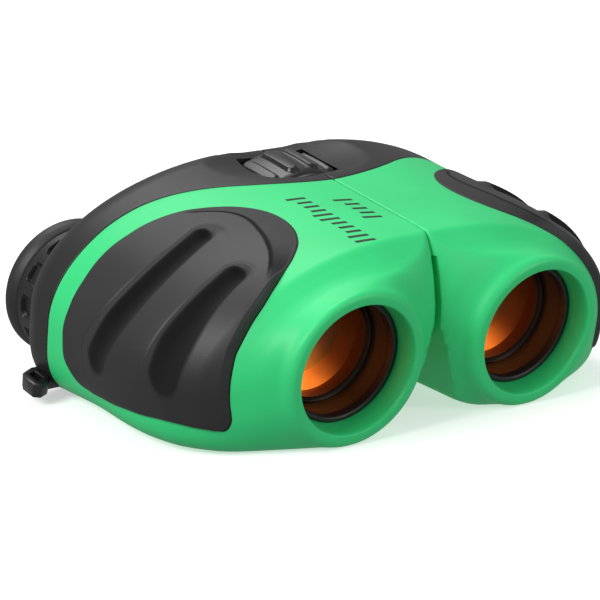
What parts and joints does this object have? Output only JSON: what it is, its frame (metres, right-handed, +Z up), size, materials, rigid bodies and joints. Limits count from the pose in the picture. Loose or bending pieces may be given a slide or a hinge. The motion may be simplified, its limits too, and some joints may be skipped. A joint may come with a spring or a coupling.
{
  "type": "compact folding binoculars",
  "caption": "Hand-held reverse-Porro compact binoculars: moulded case halves hinged on the focusing axle, ribbed focus wheel, rubber grips, dioptre ring, strap lugs.",
  "frame": {"origin": "on the surface that the binoculars stand on, at the middle of the whole object's bounding box in X and Y", "axes": "+Z up; +X towards the user's left half; the objectives look towards -Y and the eyepieces are at +Y. The optical axes rise 8.95 degrees towards +Y, because the object stands on its front rims' lower edges and its sloping underside"},
  "size_m": [0.1204, 0.0916, 0.0468],
  "materials": {
    "green_plastic": "bright green moulded case, satin",
    "black_plastic": "black moulded, fine grain",
    "black_gloss": "polished black",
    "black_rubber": "soft matt grip",
    "bare_metal": "turned, bare",
    "brass": "turned",
    "coated_glass": "ruby and amber anti-glare coating",
    "clear_glass": "polished"
  },
  "bodies": {
    "right_half": {"right_front_shell": "green_plastic", "right_rear_housing": "black_plastic", "right_grip": "black_rubber", "right_strap_lug": "black_gloss", "right_barrel_ring": "black_plastic", "right_barrel_tube": "black_plastic", "right_rear_prism": "clear_glass", "right_front_prism": "clear_glass", "right_prism_frame": "black_plastic", "right_prism_clip": "bare_metal", "right_eyepiece_tube": "black_plastic", "hinge_tube": "bare_metal", "focus_bush": "brass"},
    "left_half": {"left_front_shell": "green_plastic", "left_rear_housing": "black_plastic", "left_grip": "black_rubber", "left_strap_lug": "black_gloss", "left_barrel_ring": "black_plastic", "left_barrel_tube": "black_plastic", "left_rear_prism": "clear_glass", "left_front_prism": "clear_glass", "left_prism_frame": "black_plastic", "left_prism_clip": "bare_metal", "left_eyepiece_tube": "black_plastic", "left_eyepiece_ring": "black_plastic", "left_eyecup": "black_rubber", "left_eyepiece_cell": "black_plastic", "left_field_lens": "clear_glass", "left_eye_lens": "clear_glass"},
    "focus_wheel": {"focus_wheel": "black_rubber", "focus_screw": "bare_metal"},
    "focus_carriage": {"focus_carriage": "brass"},
    "right_objective": {"right_objective_cell": "black_plastic", "right_cell_ring": "bare_metal", "right_objective_lens": "coated_glass", "right_focus_arm": "bare_metal"},
    "left_objective": {"left_objective_cell": "black_plastic", "left_cell_ring": "bare_metal", "left_objective_lens": "coated_glass", "left_focus_arm": "bare_metal"},
    "diopter": {"right_diopter_ring": "black_plastic", "right_eyecup": "black_rubber"},
    "right_eyepiece": {"right_eyepiece_cell": "black_plastic", "right_field_lens": "clear_glass", "right_eye_lens": "clear_glass"}
  },
  "joints": [
    {"name": "fold", "type": "hinge", "parent": "right_half", "child": "left_half", "pos_m": [0, -0.00473, 0.02746], "axis": [0, 0.9878, 0.1556], "range_deg": [0, 36]},
    {"name": "focus_wheel_turn", "type": "hinge", "parent": "right_half", "child": "focus_wheel", "pos_m": [0, -0.00473, 0.02746], "axis": [0, 0.9878, 0.1556], "range_deg": [-180, 180]},
    {"name": "focus_carriage_slide", "type": "slide", "parent": "right_half", "child": "focus_carriage", "axis": [0, 0.9878, 0.1556], "range_m": [-0.0016, 0.0016]},
    {"name": "right_objective_slide", "type": "slide", "parent": "right_half", "child": "right_objective", "axis": [0, 0.9878, 0.1556], "range_m": [-0.0016, 0.0016]},
    {"name": "left_objective_slide", "type": "slide", "parent": "left_half", "child": "left_objective", "axis": [0, 0.9878, 0.1556], "range_m": [-0.0016, 0.0016]},
    {"name": "diopter_turn", "type": "hinge", "parent": "right_half", "child": "diopter", "pos_m": [-0.0365, 0.03762, 0.01571], "axis": [0, 0.9878, 0.1556], "range_deg": [-60, 60]},
    {"name": "right_eyepiece_slide", "type": "slide", "parent": "right_half", "child": "right_eyepiece", "axis": [0, 0.9878, 0.1556], "range_m": [-0.0008, 0.0008]}
  ],
  "couplings": [
    {"joint": "focus_carriage_slide", "follows": "focus_wheel_turn", "m_per_rad": 0.0004775},
    {"joint": "right_objective_slide", "follows": "focus_wheel_turn", "m_per_rad": 0.0004775},
    {"joint": "left_objective_slide", "follows": "focus_wheel_turn", "m_per_rad": 0.0004775},
    {"joint": "right_eyepiece_slide", "follows": "diopter_turn", "m_per_rad": 0.000716}
  ]
}
